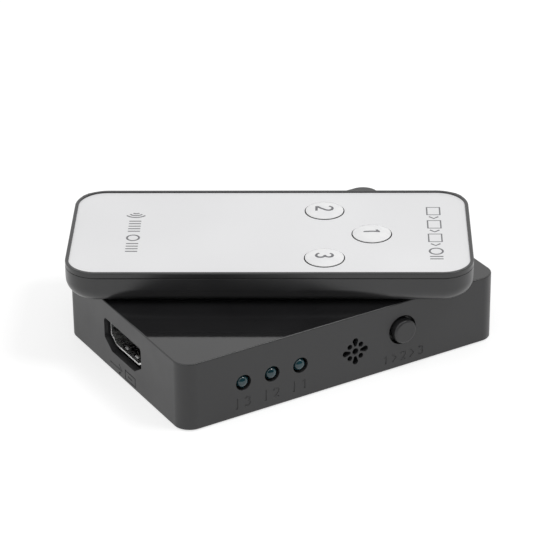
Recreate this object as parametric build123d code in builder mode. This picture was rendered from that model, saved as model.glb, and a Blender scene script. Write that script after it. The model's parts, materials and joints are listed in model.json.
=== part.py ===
from build123d import *
from math import cos, radians, sin
import os

os.makedirs("parts", exist_ok=True)

# Every length is in millimetres. The box stands on Z = 0 with its centre on the Z axis.
# X runs to the right along the front, and Y runs from the front to the row of inputs.

# Case of the switch box
case_length = 77.2
case_width = 51.6
case_height = 15.6
case_corner = 3.6
case_wall = 1.6
case_roof = 1.6
case_edge = 0.3
overrun = 1.0

# Bottom cover, let into a step around the inside of the case
cover_thick = 1.6
cover_step = 0.7
cover_gap = 0.12

# Feet, stuck into shallow pockets of the cover
foot_proud = 0.3
foot_sunk = 0.5
foot_radius = 3.5
foot_gap = 0.1
foot_edge = 0.12
foot_inset_x = 15.6
foot_inset_y = 10.8

# Screws that hold the cover, the board and the case together
screw_inset = 5.4
screw_radius = 1.1
screw_slack = 0.15
thread_slack = 0.04
screw_length = 8.5
head_radius = 2.1
head_height = 1.1
head_slack = 0.15
cross_length = 2.4
cross_width = 0.55
cross_depth = 0.6
boss_radius = 2.3
rib_thick = 0.9
bore_spare = 0.8

# Main circuit board
board_top = 5.6
board_thick = 1.2
board_gap = 0.9
board_corner = 1.0

# Video sockets: one output on the left end, a row of inputs along the back
inputs = 3
input_pitch = 22.0
port_width = 15.0
port_height = 5.5
port_base = 10.0
port_shoulder = 1.6
port_corner = 0.7
port_metal = 0.4
port_depth = 11.0
port_lift = 0.2
port_setback = 1.1
leg_length = 1.4
leg_front = 3.0
leg_rear = 8.4
finger_span = 4.4
finger_width = 1.3
finger_slit = 0.25
finger_root = 5.6
finger_peak = 1.55
finger_tip = 0.9
finger_rise = 0.35
finger_thick = 0.25
window_margin = 0.2
insulator_back = 3.0
insulator_fit = 0.04
tongue_width = 11.6
tongue_thick = 1.2
tongue_setback = 1.5
tongue_nose = 0.25
contacts_above = 10
contacts_below = 9
contact_pitch = 1.0
contact_width = 0.42
contact_thick = 0.1
contact_setback = 0.5
tail_pitch = 0.5
tail_width = 0.26
tail_thick = 0.15
tail_height = 1.4
tail_foot = 1.0

# Cut-out in the case around each video socket
cut_side = 0.65
cut_above = 0.25
cut_below = 1.1
cut_shoulder = 2.1
cut_corner = 0.9

# Power jack on the right end
jack_y = 9.0
jack_width = 6.0
jack_height = 5.2
jack_depth = 9.0
jack_nose_radius = 2.4
jack_nose = 1.4
jack_bore = 1.8
jack_bore_depth = 7.2
jack_gap = 0.2
pin_radius = 0.65
pin_setback = 0.8

# Status lights
light_x = -10.7
light_pitch = 6.8
light_height = 7.9
light_radius = 1.45
light_gap = 0.3
light_proud = 0.3
light_length = 5.2
light_flange_radius = 1.9
light_flange = 1.0
lead_width = 0.45
lead_spread = 1.27
lead_run = 1.6

# Grille of small holes in front of the remote receiver
grille_x = 2.7
grille_height = 7.2
grille_centre = 0.72
petal_inner = 1.15
petal_outer = 3.1
petal_root = 0.36
petal_tip = 0.68
grille_dot = 0.58
grille_dot_offset = 1.35

# Receiver module behind the grille
receiver_width = 6.0
receiver_height = 6.4
receiver_depth = 2.8
receiver_lens = 2.2
receiver_gap = 0.3
receiver_lead_spread = 2.54

# Select button in the front and the switch behind it
button_x = 14.4
button_height = 9.0
button_hole = 3.3
button_radius = 2.5
button_proud = 1.0
button_edge = 0.55
button_ear_width = 8.6
button_ear_height = 4.0
button_ear = 0.8
stem_radius = 1.4
stem_length = 1.1
plunger_radius = 1.7
plunger_length = 2.2
plunger_gap = 0.08
plunger_well = 1.8
plunger_in = 0.8
switch_width = 6.2
switch_depth = 4.2
switch_above = 2.4

# Chips and other small components on the board
chip_side = 10.0
chip_height = 1.4
chip_lift = 0.1
chip_pins = 16
chip_pin_pitch = 0.5
chip_pin_width = 0.22
chip_pin_length = 1.0
chip_pin_height = 0.7
chip_pin_foot = 0.15
chip_x = 2.0
chip_y = 1.5
controller_length = 8.6
controller_width = 3.9
controller_height = 1.5
controller_inset_x = 14.6
controller_inset_y = 17.8
crystal_length = 11.0
crystal_width = 4.6
crystal_height = 3.5
crystal_x = -14.0
crystal_y = -9.0
tank_radius = 2.0
tank_height = 5.4
tank_base = 4.3
tank_base_height = 0.8
tank_from_jack = 3.95
tank_y = 3.0
tank_pitch = 5.6
passive_length = 1.6
passive_width = 0.8
passive_height = 0.5
passive_columns = 6
passive_rows = 2
passive_pitch_x = 3.2
passive_pitch_y = 17.0

# Remote control, lying across the roof of the box
remote_x = 0.1
remote_y = 4.35
remote_turn = -31.74
remote_length = 86.0
remote_width = 39.5
remote_height = 7.55
remote_corner = 7.0
remote_wall = 1.2
remote_floor = 1.2
belly_round = 3.8
seam_below = 1.2
seam_gap = 0.1
seam_edge = 0.06
upper_inset = 0.1
upper_edge = 0.15
upper_wall = 0.7
lip_gap = 0.1
lip_thick = 0.8
lip_height = 1.0
plate_rim = 0.95
plate_thick = 0.4
plate_sunk = 0.1
plate_gap = 0.05
plate_corner = 5.95

# Buttons of the remote
key_radius = 4.2
key_gap = 0.15
key_crown = 0.55
key_edge = 0.08
key_flange = 5.2
key_flange_thick = 0.5
key_line = -1.05
key_left = 11.6
key_right = 21.7
key_spread = 11.1

# Board of the remote and what it carries
card_thick = 0.6
card_corner = 2.0
card_from_left = 3.0
card_side_gap = 1.35
dome_radius = 4.2
dome_top = 2.2
dome_height = 0.3
dome_gap = 0.3
post_radius = 1.4
post_inset_x = 3.0
post_inset_y = 2.4
blob_radius = 3.4
blob_height = 0.8
blob_edge = 0.4
blob_x = -6.0
resonator_length = 5.0
resonator_width = 2.4
resonator_height = 2.6
resonator_x = 12.0
emitter_radius = 1.5
emitter_length = 5.0
emitter_flange_radius = 1.8
emitter_flange = 0.9
emitter_height = 3.8
emitter_standoff = 2.1
emitter_lead_lap = 0.9
lens_width = 9.0
lens_height = 3.0
lens_proud = 0.05
lens_gap = 0.06
lens_thick = 1.4

# Battery tray in the left end of the remote
cell_radius = 10.0
cell_height = 2.5
cell_cap_radius = 8.7
cell_cap = 0.25
cell_edge = 0.3
cell_gap = 0.15
cell_inset = 12.9
tray_width = 22.4
tray_floor = 0.5
tray_slack = 0.15
tray_rim = 1.2
tray_groove = 0.5
tray_groove_pitch = 4.0
tray_groove_count = 5
tray_groove_depth = 0.3
rail_thick = 0.8
rail_height = 1.8
strip_width = 3.0
strip_thick = 0.2
strip_length = 9.0
strip_spread = 6.0

# Levels and spans worked out from the sizes above
ceiling = case_height - case_roof
room_length = case_length - 2 * case_wall
room_width = case_width - 2 * case_wall
cover_length = room_length + 2 * cover_step - 2 * cover_gap
cover_width = room_width + 2 * cover_step - 2 * cover_gap
cover_corner = case_corner - case_wall + cover_step - cover_gap
cover_top = foot_proud + cover_thick
screw_span_x = case_length - 2 * screw_inset
screw_span_y = case_width - 2 * screw_inset
foot_span_x = case_length - 2 * foot_inset_x
foot_span_y = case_width - 2 * foot_inset_y
controller_x = case_length / 2 - controller_inset_x
controller_y = controller_inset_y - case_width / 2
tank_x = case_length / 2 - port_setback - jack_nose - jack_depth - tank_from_jack - tank_base / 2
board_bottom = board_top - board_thick
front_y = -case_width / 2
front = Plane(origin=(0, front_y, 0), x_dir=(1, 0, 0), z_dir=(0, -1, 0))
wall_inside = front.offset(-case_wall)


def port_outline(plane, width, base_width, bottom, shoulder, top, corner, shrink=0):
    """Outline of a video socket: square shoulders above, sides drawn in below."""
    with BuildSketch(plane) as outline:
        with BuildLine():
            Polyline(
                (-base_width / 2, bottom),
                (base_width / 2, bottom),
                (width / 2, shoulder),
                (width / 2, top),
                (-width / 2, top),
                (-width / 2, shoulder),
                close=True,
            )
        make_face()
        fillet(outline.vertices().group_by(Axis.Y)[-1], corner)
        if shrink:
            offset(amount=-shrink, kind=Kind.INTERSECTION)
    return outline.sketch


def shell_outline(plane, shrink=0):
    """Outline of the metal shell, drawn from the board's top upwards."""
    shoulder = port_lift + port_shoulder
    top = port_lift + port_height
    return port_outline(plane, port_width, port_base, port_lift, shoulder, top, port_corner, shrink)


def cut_outline(plane):
    """Outline of the case's cut-out around a socket."""
    width = port_width + 2 * cut_side
    bottom = port_lift - cut_below
    top = port_lift + port_height + cut_above
    return port_outline(plane, width, port_base, bottom, bottom + cut_shoulder, top, cut_corner)


def mouth_plane(x, y, out):
    """Plane of a socket's mouth: local Y points up, local Z points out of the box."""
    across = (-out[1], out[0], 0)
    return Plane(origin=(x, y, board_top), x_dir=across, z_dir=out)


def socket_mouths():
    """Name and mouth plane of each video socket."""
    mouths = [("output", mouth_plane(port_setback - case_length / 2, 0, (-1, 0, 0)))]
    for i in range(inputs):
        x = (i - (inputs - 1) / 2) * input_pitch
        mouths.append((f"input_{i + 1}", mouth_plane(x, case_width / 2 - port_setback, (0, 1, 0))))
    return mouths


jack_mouth = mouth_plane(case_length / 2 - port_setback, jack_y, (1, 0, 0))
jack_axis = jack_height / 2

# One flaring petal of the grille, pointing along local X from the grille's centre
petal_start = petal_inner + petal_root
petal_end = petal_outer - petal_tip
with BuildSketch() as petal:
    with BuildLine():
        Line((petal_start, -petal_root), (petal_end, -petal_tip))
        ThreePointArc((petal_end, -petal_tip), (petal_outer, 0), (petal_end, petal_tip))
        Line((petal_end, petal_tip), (petal_start, petal_root))
        ThreePointArc((petal_start, petal_root), (petal_inner, 0), (petal_start, -petal_root))
    make_face()

# Top case: a deep shell with the sockets, lights, grille and button cut into its walls
with BuildPart() as top_case:
    with BuildSketch(Plane.XY.offset(foot_proud)):
        RectangleRounded(case_length, case_width, case_corner)
    extrude(amount=case_height - foot_proud)
    fillet(top_case.faces().sort_by(Axis.Z)[-1].edges(), case_edge)
    with BuildSketch(Plane.XY.offset(foot_proud)):
        RectangleRounded(room_length, room_width, case_corner - case_wall)
    extrude(amount=ceiling - foot_proud, mode=Mode.SUBTRACT)
    with BuildSketch(Plane.XY.offset(foot_proud)):
        RectangleRounded(cover_length + 2 * cover_gap, cover_width + 2 * cover_gap, cover_corner + cover_gap)
    extrude(amount=cover_thick, mode=Mode.SUBTRACT)
    # Screw bosses hang from the roof, each tied to two walls by ribs
    with BuildSketch(Plane.XY.offset(board_top)):
        with GridLocations(screw_span_x, screw_span_y, 2, 2):
            Circle(boss_radius)
        with GridLocations((room_length + screw_span_x) / 2, screw_span_y, 2, 2):
            Rectangle((room_length - screw_span_x) / 2, rib_thick)
        with GridLocations(screw_span_x, (room_width + screw_span_y) / 2, 2, 2):
            Rectangle(rib_thick, (room_width - screw_span_y) / 2)
    extrude(amount=ceiling - board_top)
    with BuildSketch(Plane.XY.offset(board_top)):
        with GridLocations(screw_span_x, screw_span_y, 2, 2):
            Circle(screw_radius + thread_slack)
    extrude(amount=foot_proud + head_height + screw_length + bore_spare - board_top, mode=Mode.SUBTRACT)
    # Socket cut-outs
    for socket, mouth in socket_mouths():
        extrude(cut_outline(mouth.offset(port_setback)), amount=-(case_wall + overrun), mode=Mode.SUBTRACT)
    with BuildSketch(jack_mouth.offset(port_setback)):
        with Locations((0, jack_axis)):
            Circle(jack_nose_radius + jack_gap)
    extrude(amount=-(case_wall + overrun), mode=Mode.SUBTRACT)
    # Light holes and the button hole
    with BuildSketch(front):
        for i in range(inputs):
            with Locations((light_x - i * light_pitch, light_height)):
                Circle(light_radius + light_gap)
        with Locations((button_x, button_height)):
            Circle(button_hole)
    extrude(amount=-(case_wall + overrun), mode=Mode.SUBTRACT)
    # Grille: a centre hole, four flaring petals and a small hole on each diagonal
    with BuildSketch(front):
        with Locations((grille_x, grille_height)):
            Circle(grille_centre)
            with GridLocations(2 * grille_dot_offset, 2 * grille_dot_offset, 2, 2):
                Circle(grille_dot)
            with PolarLocations(0, 4):
                add(petal.sketch)
    extrude(amount=-(case_wall + overrun), mode=Mode.SUBTRACT)
top_case.part.label = "top_case"
export_step(top_case.part, "parts/top_case.step")

# Bottom cover with a standoff under each corner of the board
with BuildPart() as bottom_cover:
    with BuildSketch(Plane.XY.offset(foot_proud)):
        RectangleRounded(cover_length, cover_width, cover_corner)
    extrude(amount=cover_thick)
    with BuildSketch(Plane.XY.offset(cover_top)):
        with GridLocations(screw_span_x, screw_span_y, 2, 2):
            Circle(boss_radius)
    extrude(amount=board_bottom - cover_top)
    with BuildSketch(Plane.XY.offset(foot_proud)):
        with GridLocations(screw_span_x, screw_span_y, 2, 2):
            Circle(screw_radius + screw_slack)
    extrude(amount=board_bottom - foot_proud, mode=Mode.SUBTRACT)
    with BuildSketch(Plane.XY.offset(foot_proud)):
        with GridLocations(screw_span_x, screw_span_y, 2, 2):
            Circle(head_radius + head_slack)
    extrude(amount=head_height, mode=Mode.SUBTRACT)
    with BuildSketch(Plane.XY.offset(foot_proud)):
        with GridLocations(foot_span_x, foot_span_y, 2, 2):
            Circle(foot_radius + foot_gap)
    extrude(amount=foot_sunk, mode=Mode.SUBTRACT)
bottom_cover.part.label = "bottom_cover"
export_step(bottom_cover.part, "parts/bottom_cover.step")

# Self-tapping screws with cross recesses
with BuildPart() as case_screws:
    with BuildSketch(Plane.XY.offset(foot_proud)):
        with GridLocations(screw_span_x, screw_span_y, 2, 2):
            Circle(head_radius)
    extrude(amount=head_height)
    with BuildSketch(Plane.XY.offset(foot_proud + head_height)):
        with GridLocations(screw_span_x, screw_span_y, 2, 2):
            Circle(screw_radius)
    extrude(amount=screw_length)
    with BuildSketch(Plane.XY.offset(foot_proud)):
        with GridLocations(screw_span_x, screw_span_y, 2, 2):
            Rectangle(cross_length, cross_width)
            Rectangle(cross_width, cross_length)
    extrude(amount=cross_depth, mode=Mode.SUBTRACT)
case_screws.part.label = "case_screws"
export_step(case_screws.part, "parts/case_screws.step")

# Rubber feet
with BuildPart() as rubber_feet:
    with BuildSketch(Plane.XY):
        with GridLocations(foot_span_x, foot_span_y, 2, 2):
            Circle(foot_radius)
    extrude(amount=foot_proud + foot_sunk)
    chamfer(rubber_feet.edges().group_by(Axis.Z)[0], foot_edge)
rubber_feet.part.label = "rubber_feet"
export_step(rubber_feet.part, "parts/rubber_feet.step")

# Main board
with BuildPart() as main_board:
    with BuildSketch(Plane.XY.offset(board_bottom)):
        RectangleRounded(room_length - 2 * board_gap, room_width - 2 * board_gap, board_corner)
        with GridLocations(screw_span_x, screw_span_y, 2, 2):
            Circle(screw_radius + screw_slack, mode=Mode.SUBTRACT)
    extrude(amount=board_thick)
main_board.part.label = "main_board"
export_step(main_board.part, "parts/main_board.step")

# Video sockets: a folded metal shell, an insulator with its tongue, and the contacts on the tongue
tongue_low = port_lift + (port_height - tongue_thick) / 2
tongue_high = tongue_low + tongue_thick
tongue_length = port_depth - insulator_back - tongue_setback
contact_length = tongue_length - contact_setback
for socket, mouth in socket_mouths():
    floor_plane = Plane(origin=mouth.origin, x_dir=mouth.x_dir, z_dir=mouth.y_dir)
    side_plane = Plane(origin=mouth.origin, x_dir=mouth.z_dir, z_dir=-mouth.x_dir)
    with BuildPart() as shell:
        extrude(shell_outline(mouth), amount=-port_depth)
        extrude(shell_outline(mouth, port_metal), amount=-port_depth, mode=Mode.SUBTRACT)
        # Windows for the spring fingers, through the floor and the roof
        with BuildSketch(floor_plane):
            with Locations((0, (finger_root + finger_tip) / 2 - window_margin)):
                with GridLocations(finger_span, finger_root, 2, 1):
                    Rectangle(finger_width + 2 * finger_slit, finger_root - finger_tip)
        extrude(amount=2 * port_height, mode=Mode.SUBTRACT)
        # Fingers bent inwards, on the floor and the roof
        for across in (-finger_span / 2, finger_span / 2):
            for level, way in ((port_lift, 1), (port_lift + port_height, -1)):
                with BuildSketch(side_plane.offset(across)):
                    with BuildLine():
                        Polyline(
                            (-finger_root, level),
                            (-finger_peak, level + way * finger_rise),
                            (-finger_tip, level + way * finger_thick / 2),
                            (-finger_tip, level + way * finger_thick * 3 / 2),
                            (-finger_peak, level + way * (finger_rise + finger_thick)),
                            (-finger_root, level + way * finger_thick),
                            close=True,
                        )
                    make_face()
                extrude(amount=finger_width / 2, both=True)
        # Solder legs down both sides
        with BuildSketch(floor_plane):
            with Locations((0, (leg_front + leg_rear) / 2)):
                with GridLocations(port_width - port_metal, leg_rear - leg_front, 2, 2):
                    Rectangle(port_metal, leg_length)
        extrude(amount=port_lift + port_shoulder + port_metal)
    shell.part.label = f"{socket}_shell"
    export_step(shell.part, f"parts/{socket}_shell.step")

    with BuildPart() as insulator:
        back = mouth.offset(-port_depth)
        extrude(shell_outline(back, port_metal + insulator_fit), amount=insulator_back)
        with BuildSketch(back):
            with Locations((0, (tongue_low + tongue_high) / 2)):
                Rectangle(tongue_width, tongue_thick)
        extrude(amount=port_depth - tongue_setback)
        nose_edges = insulator.edges().filter_by(Axis(back.origin, back.x_dir))
        chamfer(nose_edges.sort_by(Axis(back.origin, back.z_dir))[-2:], tongue_nose)
    insulator.part.label = f"{socket}_insulator"
    export_step(insulator.part, f"parts/{socket}_insulator.step")

    with BuildPart() as contacts:
        centre = tongue_setback + contact_setback + contact_length / 2
        with BuildSketch(floor_plane.offset(tongue_high)):
            with Locations((0, centre)):
                with GridLocations(contact_pitch, contact_length, contacts_above, 1):
                    Rectangle(contact_width, contact_length)
        extrude(amount=contact_thick)
        with BuildSketch(floor_plane.offset(tongue_low)):
            with Locations((0, centre)):
                with GridLocations(contact_pitch, contact_length, contacts_below, 1):
                    Rectangle(contact_width, contact_length)
        extrude(amount=-contact_thick)
        # Tails run down the back of the insulator and out along the board
        tails = contacts_above + contacts_below
        with BuildSketch(floor_plane):
            with Locations((0, port_depth + tail_foot / 2)):
                with GridLocations(tail_pitch, tail_foot, tails, 1):
                    Rectangle(tail_width, tail_foot)
        extrude(amount=tail_thick)
        with BuildSketch(floor_plane):
            with Locations((0, port_depth + tail_thick / 2)):
                with GridLocations(tail_pitch, tail_thick, tails, 1):
                    Rectangle(tail_width, tail_thick)
        extrude(amount=tail_height)
    contacts.part.label = f"{socket}_contacts"
    export_step(contacts.part, f"parts/{socket}_contacts.step")

# Power jack: a moulded block with a round nose in the case's hole
with BuildPart() as power_jack:
    with BuildSketch(jack_mouth.offset(-jack_nose)):
        with Locations((0, jack_axis)):
            Rectangle(jack_width, jack_height)
    extrude(amount=-jack_depth)
    with BuildSketch(jack_mouth.offset(-jack_nose)):
        with Locations((0, jack_axis)):
            Circle(jack_nose_radius)
    extrude(amount=jack_nose)
    with BuildSketch(jack_mouth):
        with Locations((0, jack_axis)):
            Circle(jack_bore)
    extrude(amount=-jack_bore_depth, mode=Mode.SUBTRACT)
power_jack.part.label = "power_jack"
export_step(power_jack.part, "parts/power_jack.step")

with BuildPart() as power_jack_pin:
    with BuildSketch(jack_mouth.offset(-jack_bore_depth)):
        with Locations((0, jack_axis)):
            Circle(pin_radius)
    extrude(amount=jack_bore_depth - pin_setback)
    chamfer(power_jack_pin.edges().group_by(Axis.X)[-1], pin_radius / 3)
power_jack_pin.part.label = "power_jack_pin"
export_step(power_jack_pin.part, "parts/power_jack_pin.step")

# Status lights: round lamps lying on their sides, with leads bent down to the board
light_back = light_length - light_proud
for i in range(inputs):
    light_plane = front.offset(light_proud)
    light_spot = (light_x - i * light_pitch, light_height)
    with BuildPart() as status_light:
        with BuildSketch(light_plane.offset(-light_length)):
            with Locations(light_spot):
                Circle(light_flange_radius)
        extrude(amount=light_flange)
        with BuildSketch(light_plane.offset(-light_length)):
            with Locations(light_spot):
                Circle(light_radius)
        extrude(amount=light_length - light_radius)
        with Locations((light_spot[0], front_y - light_proud + light_radius, light_height)):
            Sphere(light_radius)
    status_light.part.label = f"status_light_{i + 1}"
    export_step(status_light.part, f"parts/status_light_{i + 1}.step")

with BuildPart() as light_leads:
    for i in range(inputs):
        for side in (-lead_spread / 2, lead_spread / 2):
            with BuildSketch(Plane.YZ.offset(light_x - i * light_pitch + side)):
                with BuildLine():
                    back = front_y + light_back
                    Polyline(
                        (back, light_height + lead_width / 2),
                        (back + lead_run, light_height + lead_width / 2),
                        (back + lead_run, board_top),
                        (back + lead_run - lead_width, board_top),
                        (back + lead_run - lead_width, light_height - lead_width / 2),
                        (back, light_height - lead_width / 2),
                        close=True,
                    )
                make_face()
            extrude(amount=lead_width / 2, both=True)
light_leads.part.label = "light_leads"
export_step(light_leads.part, "parts/light_leads.step")

# Infrared receiver: a dark block with a round lens towards the grille
receiver_front = case_wall + receiver_gap + receiver_lens / 2
with BuildPart() as infrared_receiver:
    with BuildSketch(front.offset(-receiver_front)):
        with Locations((grille_x, board_top + receiver_height / 2)):
            Rectangle(receiver_width, receiver_height)
    extrude(amount=-receiver_depth)
    with BuildSketch(front.offset(-receiver_front)):
        with Locations((grille_x, board_top + receiver_lens)):
            Circle(receiver_lens)
    extrude(amount=receiver_lens / 2)
    fillet(infrared_receiver.faces().sort_by(Axis.Y)[0].edges(), receiver_lens / 3)
infrared_receiver.part.label = "infrared_receiver"
export_step(infrared_receiver.part, "parts/infrared_receiver.step")

with BuildPart() as receiver_leads:
    receiver_back = front_y + receiver_front + receiver_depth
    with BuildSketch(Plane.XY.offset(board_top)):
        with Locations((grille_x, receiver_back + lead_width / 2)):
            with GridLocations(receiver_lead_spread, lead_width, 3, 1):
                Rectangle(lead_width, lead_width)
    extrude(amount=receiver_height / 2)
receiver_leads.part.label = "receiver_leads"
export_step(receiver_leads.part, "parts/receiver_leads.step")

# Select button: a round cap with two ears behind the wall and a stem to the switch
with BuildPart() as select_button:
    with BuildSketch(wall_inside):
        with Locations((button_x, button_height)):
            Circle(button_radius)
    extrude(amount=case_wall + button_proud)
    fillet(select_button.faces().sort_by(Axis.Y)[0].edges(), button_edge)
    with BuildSketch(wall_inside):
        with Locations((button_x, button_height)):
            Rectangle(button_ear_width, button_ear_height)
    extrude(amount=-button_ear)
    with BuildSketch(wall_inside.offset(-button_ear)):
        with Locations((button_x, button_height)):
            Circle(stem_radius)
    extrude(amount=-stem_length)
select_button.part.label = "select_button"
export_step(select_button.part, "parts/select_button.step")

# Select switch: a block on the board, and the plunger that the stem pushes
plunger_plane = wall_inside.offset(-button_ear - stem_length)
switch_front = plunger_plane.offset(plunger_in - plunger_length)
with BuildPart() as switch_plunger:
    with BuildSketch(plunger_plane):
        with Locations((button_x, button_height)):
            Circle(plunger_radius)
    extrude(amount=-plunger_length)
switch_plunger.part.label = "switch_plunger"
export_step(switch_plunger.part, "parts/switch_plunger.step")

with BuildPart() as select_switch:
    with BuildSketch(switch_front):
        with Locations((button_x, (board_top + button_height + switch_above) / 2)):
            Rectangle(switch_width, button_height + switch_above - board_top)
    extrude(amount=-switch_depth)
    with BuildSketch(switch_front):
        with Locations((button_x, button_height)):
            Circle(plunger_radius + plunger_gap)
    extrude(amount=-plunger_well, mode=Mode.SUBTRACT)
select_switch.part.label = "select_switch"
export_step(select_switch.part, "parts/select_switch.step")

# Video switching chip and its pins
with BuildPart() as switch_chip:
    with BuildSketch(Plane.XY.offset(board_top + chip_lift)):
        with Locations((chip_x, chip_y)):
            Rectangle(chip_side, chip_side)
    extrude(amount=chip_height)
switch_chip.part.label = "switch_chip"
export_step(switch_chip.part, "parts/switch_chip.step")

with BuildPart() as switch_chip_pins:
    reach = chip_side / 2 + chip_pin_length / 2
    with BuildSketch(Plane.XY.offset(board_top)):
        with Locations((chip_x, chip_y)):
            with GridLocations(2 * reach, chip_pin_pitch, 2, chip_pins):
                Rectangle(chip_pin_length, chip_pin_width)
            with GridLocations(chip_pin_pitch, 2 * reach, chip_pins, 2):
                Rectangle(chip_pin_width, chip_pin_length)
    extrude(amount=chip_pin_foot)
    root = chip_side / 2 + chip_pin_foot / 2
    with BuildSketch(Plane.XY.offset(board_top)):
        with Locations((chip_x, chip_y)):
            with GridLocations(2 * root, chip_pin_pitch, 2, chip_pins):
                Rectangle(chip_pin_foot, chip_pin_width)
            with GridLocations(chip_pin_pitch, 2 * root, chip_pins, 2):
                Rectangle(chip_pin_width, chip_pin_foot)
    extrude(amount=chip_pin_height)
switch_chip_pins.part.label = "switch_chip_pins"
export_step(switch_chip_pins.part, "parts/switch_chip_pins.step")

# Small controller that reads the button and the receiver
with BuildPart() as control_chip:
    with BuildSketch(Plane.XY.offset(board_top)):
        with Locations((controller_x, controller_y)):
            Rectangle(controller_width, controller_length)
    extrude(amount=controller_height)
control_chip.part.label = "control_chip"
export_step(control_chip.part, "parts/control_chip.step")

# Quartz crystal in its oval can
with BuildPart() as crystal:
    with BuildSketch(Plane.XY.offset(board_top)):
        with Locations((crystal_x, crystal_y)):
            SlotOverall(crystal_length, crystal_width)
    extrude(amount=crystal_height)
crystal.part.label = "crystal"
export_step(crystal.part, "parts/crystal.step")

# Electrolytic capacitors on square bases
with BuildPart() as capacitors:
    with BuildSketch(Plane.XY.offset(board_top)):
        with Locations((tank_x, tank_y)):
            with GridLocations(tank_pitch, tank_pitch, 1, 2):
                Rectangle(tank_base, tank_base)
    extrude(amount=tank_base_height)
    with BuildSketch(Plane.XY.offset(board_top)):
        with Locations((tank_x, tank_y)):
            with GridLocations(tank_pitch, tank_pitch, 1, 2):
                Circle(tank_radius)
    extrude(amount=tank_height)
capacitors.part.label = "capacitors"
export_step(capacitors.part, "parts/capacitors.step")

# Chip resistors and capacitors in two rows beside the switching chip
with BuildPart() as small_components:
    with BuildSketch(Plane.XY.offset(board_top)):
        with Locations((chip_x, chip_y)):
            with GridLocations(passive_pitch_x, passive_pitch_y, passive_columns, passive_rows):
                Rectangle(passive_length, passive_width)
    extrude(amount=passive_height)
small_components.part.label = "small_components"
export_step(small_components.part, "parts/small_components.step")

# The remote control has a frame of its own: X along its length, origin on its underside
remote_way = Vector(cos(radians(remote_turn)), sin(radians(remote_turn)), 0)
remote = Plane(origin=(remote_x, remote_y, case_height), x_dir=remote_way, z_dir=(0, 0, 1))
seam = remote_height - seam_below
plate_top = remote_height - plate_sunk
plate_bottom = plate_top - plate_thick
upper_length = remote_length - 2 * upper_inset
upper_width = remote_width - 2 * upper_inset
plate_length = upper_length - 2 * plate_rim
plate_width = upper_width - 2 * plate_rim
wall_bottom = plate_bottom - upper_wall
card_top = wall_bottom - key_flange_thick - dome_gap - dome_height
card_bottom = card_top - card_thick
card_length = remote_length - card_from_left - lens_thick - emitter_length - emitter_standoff
card_width = remote_width - 2 * (remote_wall + lip_gap + lip_thick + card_side_gap)
card_x = card_from_left + (card_length - remote_length) / 2
post_span_x = card_length - 2 * post_inset_x
post_span_y = card_width - 2 * post_inset_y
emitter_lead = emitter_standoff + emitter_lead_lap
tray_bottom = remote_floor + tray_slack
cell_bottom = tray_bottom + tray_floor
tray_top = cell_bottom + cell_height - cell_cap
tray_end_wall = cell_inset - cell_radius - cell_gap
slot_top = cell_bottom + cell_height + tray_slack
tray_length = cell_inset + cell_radius + cell_gap + tray_rim
tray_x = (tray_length - remote_length) / 2
cell_x = cell_inset - remote_length / 2
key_spots = [
    (key_right, key_line),
    (key_left, key_line + key_spread),
    (key_left, key_line - key_spread),
]


def tub(inset):
    """Solid of the remote's lower half, drawn in by an inset, with its rounded belly."""
    with BuildPart() as body:
        with BuildSketch(remote.offset(inset)):
            RectangleRounded(remote_length - 2 * inset, remote_width - 2 * inset, remote_corner - inset)
        extrude(amount=seam - inset)
        fillet(body.faces().sort_by(Axis.Z)[0].edges(), belly_round - inset)
    return body.part


# Lower shell of the remote
with BuildPart() as remote_lower_shell:
    add(tub(0))
    chamfer(remote_lower_shell.faces().sort_by(Axis.Z)[-1].edges(), seam_edge)
    add(tub(remote_wall), mode=Mode.SUBTRACT)
    with BuildSketch(remote.offset(remote_floor)):
        with Locations((card_x, 0)):
            with GridLocations(post_span_x, post_span_y, 2, 2):
                Circle(post_radius)
    extrude(amount=card_bottom - remote_floor)
    # Rails that guide the battery tray
    with BuildSketch(remote.offset(remote_floor)):
        with Locations((tray_x + belly_round / 2, 0)):
            with GridLocations(tray_length, tray_width + 2 * tray_slack + rail_thick, 1, 2):
                Rectangle(tray_length - belly_round, rail_thick)
    extrude(amount=rail_height)
    # Slot for the tray through the left end
    with BuildSketch(remote.offset(remote_floor)):
        with Locations(((remote_wall + belly_round - remote_length - overrun) / 2, 0)):
            Rectangle(remote_wall + belly_round + overrun, tray_width + 2 * tray_slack)
    extrude(amount=slot_top - remote_floor, mode=Mode.SUBTRACT)
    # Window for the emitter through the right end
    with BuildSketch(remote.offset(emitter_height - lens_height / 2 - lens_gap)):
        with Locations(((remote_length + overrun) / 2 - remote_wall, 0)):
            Rectangle(2 * remote_wall + overrun, lens_width + 2 * lens_gap)
    extrude(amount=lens_height + 2 * lens_gap, mode=Mode.SUBTRACT)
remote_lower_shell.part.label = "remote_lower_shell"
export_step(remote_lower_shell.part, "parts/remote_lower_shell.step")

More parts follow.
